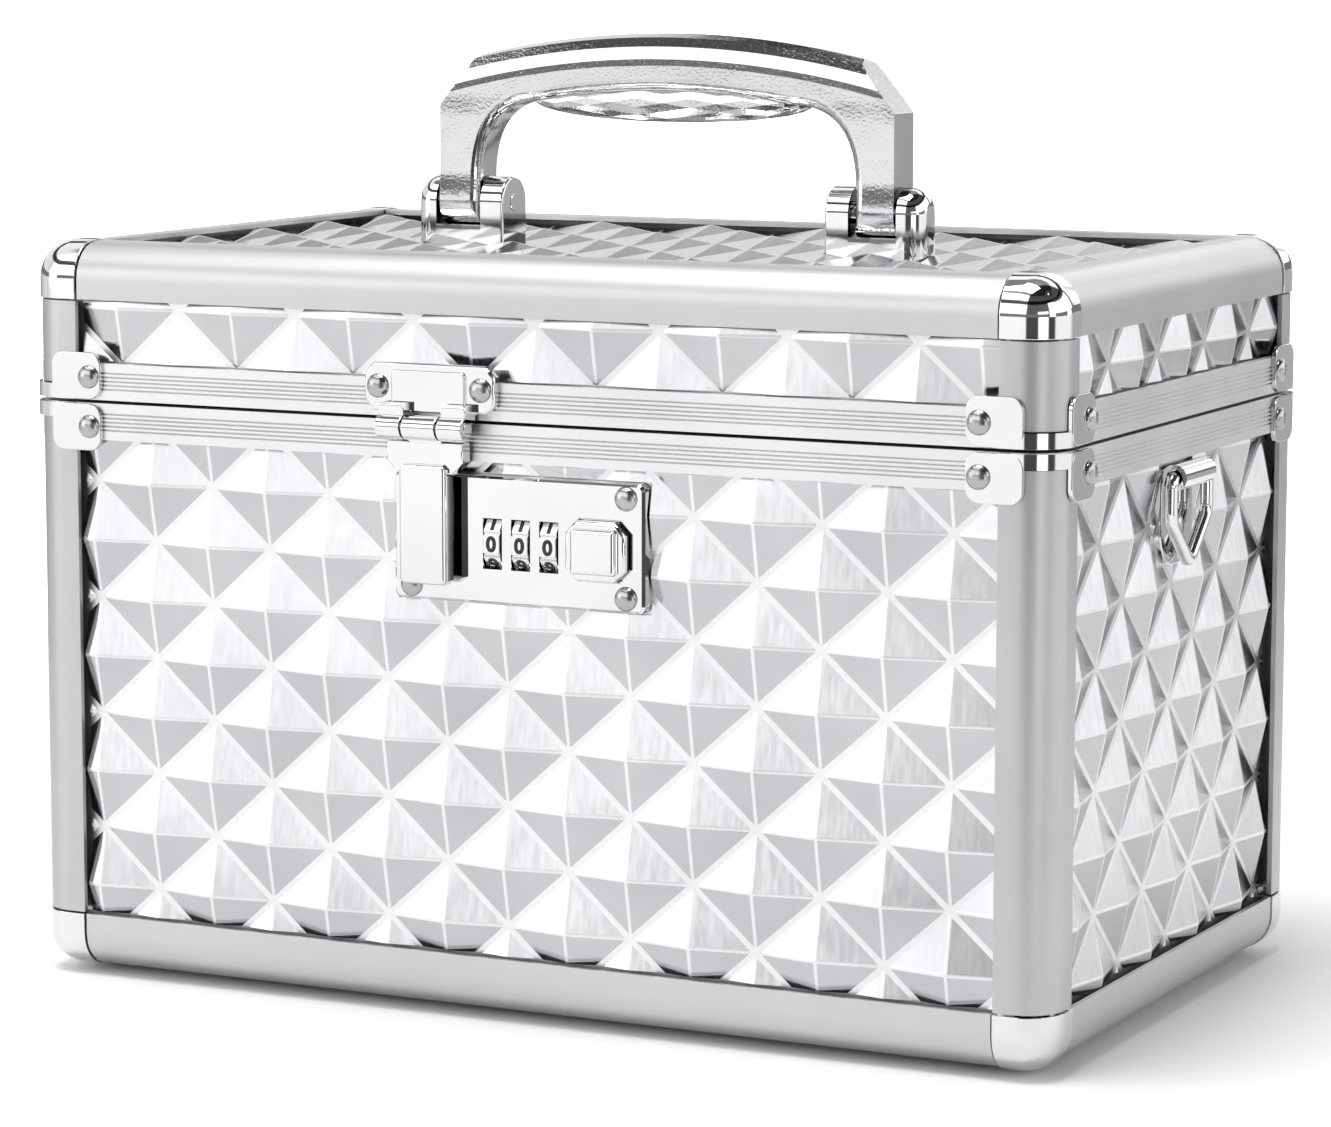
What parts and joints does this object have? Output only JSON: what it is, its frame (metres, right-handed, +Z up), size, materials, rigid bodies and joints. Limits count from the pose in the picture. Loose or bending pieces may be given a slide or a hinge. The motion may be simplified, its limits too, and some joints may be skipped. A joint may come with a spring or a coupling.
{
  "type": "lock box",
  "caption": "Aluminium-framed lock box with embossed boards, a hinged lid, a hasp over a number lock, a folding carry handle and two strap rings.",
  "frame": {"origin": "bottom centre of the bounding box, on the surface that the feet stand on", "axes": "+Z up, the front with the lock looks along -Y, +X to the right of somebody who looks at the front"},
  "size_m": [0.2476, 0.159, 0.2062],
  "materials": {
    "edge_profile": "satin anodised extrusion",
    "embossed_board": "brushed bright sheet pressed into pyramids",
    "chrome_hardware": "bright chrome plating",
    "wheel_metal": "plated wheels with black digits",
    "base_board": "black board with ribbed feet"
  },
  "bodies": {
    "base": {"panel_front": "embossed_board", "panel_back": "embossed_board", "panel_left": "embossed_board", "panel_right": "embossed_board", "panel_bottom": "base_board", "rail_bottom_front": "edge_profile", "rail_bottom_back": "edge_profile", "rail_bottom_left": "edge_profile", "rail_bottom_right": "edge_profile", "post_base_front_left": "edge_profile", "post_base_front_right": "edge_profile", "post_base_back_right": "edge_profile", "post_base_back_left": "edge_profile", "rim_base": "edge_profile", "cap_bottom_front_left": "chrome_hardware", "cap_bottom_front_right": "chrome_hardware", "cap_bottom_back_right": "chrome_hardware", "cap_bottom_back_left": "chrome_hardware", "rim_bracket_base_front_left": "chrome_hardware", "rim_bracket_base_front_right": "chrome_hardware", "rim_bracket_base_back_right": "chrome_hardware", "rim_bracket_base_back_left": "chrome_hardware", "d_ring_plate_left": "chrome_hardware", "d_ring_plate_right": "chrome_hardware", "lock_plate": "chrome_hardware", "hinge_leaf_base": "edge_profile"},
    "lid": {"panel_lid_front": "embossed_board", "panel_lid_back": "embossed_board", "panel_lid_left": "embossed_board", "panel_lid_right": "embossed_board", "panel_lid_top": "embossed_board", "rail_top_front": "edge_profile", "rail_top_back": "edge_profile", "rail_top_left": "edge_profile", "rail_top_right": "edge_profile", "post_lid_front_left": "edge_profile", "post_lid_front_right": "edge_profile", "post_lid_back_right": "edge_profile", "post_lid_back_left": "edge_profile", "rim_lid": "edge_profile", "cap_top_front_left": "chrome_hardware", "cap_top_front_right": "chrome_hardware", "cap_top_back_right": "chrome_hardware", "cap_top_back_left": "chrome_hardware", "rim_bracket_lid_front_left": "chrome_hardware", "rim_bracket_lid_front_right": "chrome_hardware", "rim_bracket_lid_back_right": "chrome_hardware", "rim_bracket_lid_back_left": "chrome_hardware", "handle_bracket_left": "chrome_hardware", "handle_bracket_right": "chrome_hardware", "hasp_plate": "chrome_hardware", "hinge_leaf_lid": "edge_profile"},
    "hasp": {"hasp_tongue": "chrome_hardware"},
    "dial_1": {"dial_wheel_1": "wheel_metal"},
    "dial_2": {"dial_wheel_2": "wheel_metal"},
    "dial_3": {"dial_wheel_3": "wheel_metal"},
    "button": {"lock_button": "chrome_hardware"},
    "handle": {"handle": "chrome_hardware"},
    "ring_left": {"d_ring_left": "chrome_hardware"},
    "ring_right": {"d_ring_right": "chrome_hardware"}
  },
  "joints": [
    {"name": "lid_hinge", "type": "hinge", "parent": "base", "child": "lid", "pos_m": [0, 0.07725, 0.1273], "axis": [-1, 0, 0], "range_deg": [0, 100]},
    {"name": "hasp_hinge", "type": "hinge", "parent": "lid", "child": "hasp", "pos_m": [-0.0192, -0.07695, 0.126], "axis": [-1, 0, 0], "range_deg": [0, 150]},
    {"name": "dial_1_turn", "type": "hinge", "parent": "base", "child": "dial_1", "pos_m": [-0.00532, -0.0657, 0.102], "axis": [1, 0, 0], "continuous": true},
    {"name": "dial_2_turn", "type": "hinge", "parent": "base", "child": "dial_2", "pos_m": [0.0013, -0.0657, 0.102], "axis": [1, 0, 0], "continuous": true},
    {"name": "dial_3_turn", "type": "hinge", "parent": "base", "child": "dial_3", "pos_m": [0.00792, -0.0657, 0.102], "axis": [1, 0, 0], "continuous": true},
    {"name": "button_press", "type": "slide", "parent": "base", "child": "button", "axis": [0, 1, 0], "range_m": [0, 0.0025], "stiffness_N_per_m": 400, "springref_m": -0.002},
    {"name": "handle_swing", "type": "hinge", "parent": "lid", "child": "handle", "pos_m": [0, 0.00115, 0.1683], "axis": [1, 0, 0], "range_deg": [-88, 88]},
    {"name": "ring_left_swing", "type": "hinge", "parent": "base", "child": "ring_left", "pos_m": [-0.121, 0.00115, 0.1157], "axis": [0, 1, 0], "range_deg": [0, 150]},
    {"name": "ring_right_swing", "type": "hinge", "parent": "base", "child": "ring_right", "pos_m": [0.121, 0.00115, 0.1157], "axis": [0, -1, 0], "range_deg": [0, 150]}
  ]
}
